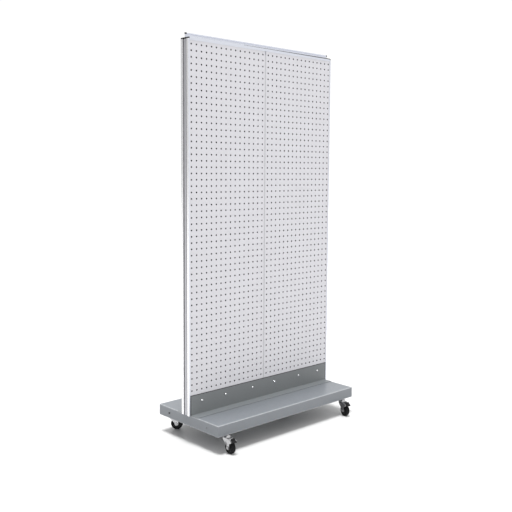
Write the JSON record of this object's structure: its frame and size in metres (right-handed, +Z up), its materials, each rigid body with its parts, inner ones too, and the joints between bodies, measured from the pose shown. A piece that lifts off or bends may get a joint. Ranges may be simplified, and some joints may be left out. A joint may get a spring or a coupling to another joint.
{
  "type": "pegboard floor display",
  "caption": "Double-sided perforated-board panel in an aluminium frame, standing on a low sheet-metal base that rolls on swivel casters with brake levers.",
  "frame": {"origin": "on the floor, midway between the two faces and midway between the two posts", "axes": "+Z up, -Y out of the front face, +X to the right seen from the front"},
  "size_m": [0.824, 0.4863, 1.6653],
  "materials": {
    "board_grey": "hardboard with a smooth pale grey paint",
    "frame_aluminium": "satin clear anodised",
    "base_paint": "satin grey powder coat",
    "kick_paint": "satin grey powder coat",
    "rail_steel": "satin grey powder coat",
    "screw_steel": "bright zinc plate",
    "cap_black": "moulded black",
    "caster_steel": "bright zinc plate",
    "tyre_black": "hard black tread",
    "lever_black": "moulded black"
  },
  "bodies": {
    "stand": {"base_deck": "base_paint", "caster_rail_left": "rail_steel", "caster_rail_right": "rail_steel", "end_screw_left_front": "screw_steel", "end_screw_left_back": "screw_steel", "end_screw_right_front": "screw_steel", "end_screw_right_back": "screw_steel", "post_left": "frame_aluminium", "post_right": "frame_aluminium", "end_cap_left": "cap_black", "end_cap_right": "cap_black", "bottom_rail": "frame_aluminium", "mullion": "frame_aluminium", "top_rail": "frame_aluminium", "header_strip": "frame_aluminium", "board_front_left": "board_grey", "board_front_right": "board_grey", "board_back_left": "board_grey", "board_back_right": "board_grey", "kick_plate_front": "kick_paint", "kick_plate_back": "kick_paint", "kick_screw_front_1": "screw_steel", "kick_screw_front_2": "screw_steel", "kick_screw_front_3": "screw_steel", "kick_screw_front_4": "screw_steel", "kick_screw_front_5": "screw_steel", "kick_screw_front_6": "screw_steel", "kick_screw_back_1": "screw_steel", "kick_screw_back_2": "screw_steel", "kick_screw_back_3": "screw_steel", "kick_screw_back_4": "screw_steel", "kick_screw_back_5": "screw_steel", "kick_screw_back_6": "screw_steel", "caster_stem_front_left": "caster_steel", "caster_stem_front_right": "caster_steel", "caster_stem_back_left": "caster_steel", "caster_stem_back_right": "caster_steel"},
    "caster_front_left": {"caster_fork_front_left": "caster_steel", "caster_axle_front_left": "caster_steel", "brake_pin_front_left": "caster_steel"},
    "wheel_front_left": {"caster_wheel_front_left": "tyre_black"},
    "brake_front_left": {"brake_lever_front_left": "lever_black"},
    "caster_front_right": {"caster_fork_front_right": "caster_steel", "caster_axle_front_right": "caster_steel", "brake_pin_front_right": "caster_steel"},
    "wheel_front_right": {"caster_wheel_front_right": "tyre_black"},
    "brake_front_right": {"brake_lever_front_right": "lever_black"},
    "caster_back_left": {"caster_fork_back_left": "caster_steel", "caster_axle_back_left": "caster_steel", "brake_pin_back_left": "caster_steel"},
    "wheel_back_left": {"caster_wheel_back_left": "tyre_black"},
    "brake_back_left": {"brake_lever_back_left": "lever_black"},
    "caster_back_right": {"caster_fork_back_right": "caster_steel", "caster_axle_back_right": "caster_steel", "brake_pin_back_right": "caster_steel"},
    "wheel_back_right": {"caster_wheel_back_right": "tyre_black"},
    "brake_back_right": {"brake_lever_back_right": "lever_black"}
  },
  "joints": [
    {"name": "swivel_front_left", "type": "hinge", "parent": "stand", "child": "caster_front_left", "pos_m": [-0.347, -0.188, 0.065], "axis": [0, 0, 1], "continuous": true},
    {"name": "wheel_spin_front_left", "type": "hinge", "parent": "caster_front_left", "child": "wheel_front_left", "pos_m": [-0.34867, -0.21194, 0.0254], "axis": [0.9976, -0.0698, 0], "continuous": true},
    {"name": "brake_hinge_front_left", "type": "hinge", "parent": "caster_front_left", "child": "brake_front_left", "pos_m": [-0.34986, -0.2289, 0.054], "axis": [0.9976, -0.0698, 0], "range_deg": [0, 25]},
    {"name": "swivel_front_right", "type": "hinge", "parent": "stand", "child": "caster_front_right", "pos_m": [0.347, -0.188, 0.065], "axis": [0, 0, 1], "continuous": true},
    {"name": "wheel_spin_front_right", "type": "hinge", "parent": "caster_front_right", "child": "wheel_front_right", "pos_m": [0.34119, -0.21129, 0.0254], "axis": [0.9703, -0.2419, 0], "continuous": true},
    {"name": "brake_hinge_front_right", "type": "hinge", "parent": "caster_front_right", "child": "brake_front_right", "pos_m": [0.33708, -0.22778, 0.054], "axis": [0.9703, -0.2419, 0], "range_deg": [0, 25]},
    {"name": "swivel_back_left", "type": "hinge", "parent": "stand", "child": "caster_back_left", "pos_m": [-0.347, 0.188, 0.065], "axis": [0, 0, 1], "continuous": true},
    {"name": "wheel_spin_back_left", "type": "hinge", "parent": "caster_back_left", "child": "wheel_back_left", "pos_m": [-0.33157, 0.16961, 0.0254], "axis": [0.766, 0.6428, 0], "continuous": true},
    {"name": "brake_hinge_back_left", "type": "hinge", "parent": "caster_back_left", "child": "brake_back_left", "pos_m": [-0.32065, 0.15659, 0.054], "axis": [0.766, 0.6428, 0], "range_deg": [0, 25]},
    {"name": "swivel_back_right", "type": "hinge", "parent": "stand", "child": "caster_back_right", "pos_m": [0.347, 0.188, 0.065], "axis": [0, 0, 1], "continuous": true},
    {"name": "wheel_spin_back_right", "type": "hinge", "parent": "caster_back_right", "child": "wheel_back_right", "pos_m": [0.34201, 0.21148, 0.0254], "axis": [-0.9781, -0.2079, 0], "continuous": true},
    {"name": "brake_hinge_back_right", "type": "hinge", "parent": "caster_back_right", "child": "brake_back_right", "pos_m": [0.33848, 0.2281, 0.054], "axis": [-0.9781, -0.2079, 0], "range_deg": [0, 25]}
  ]
}
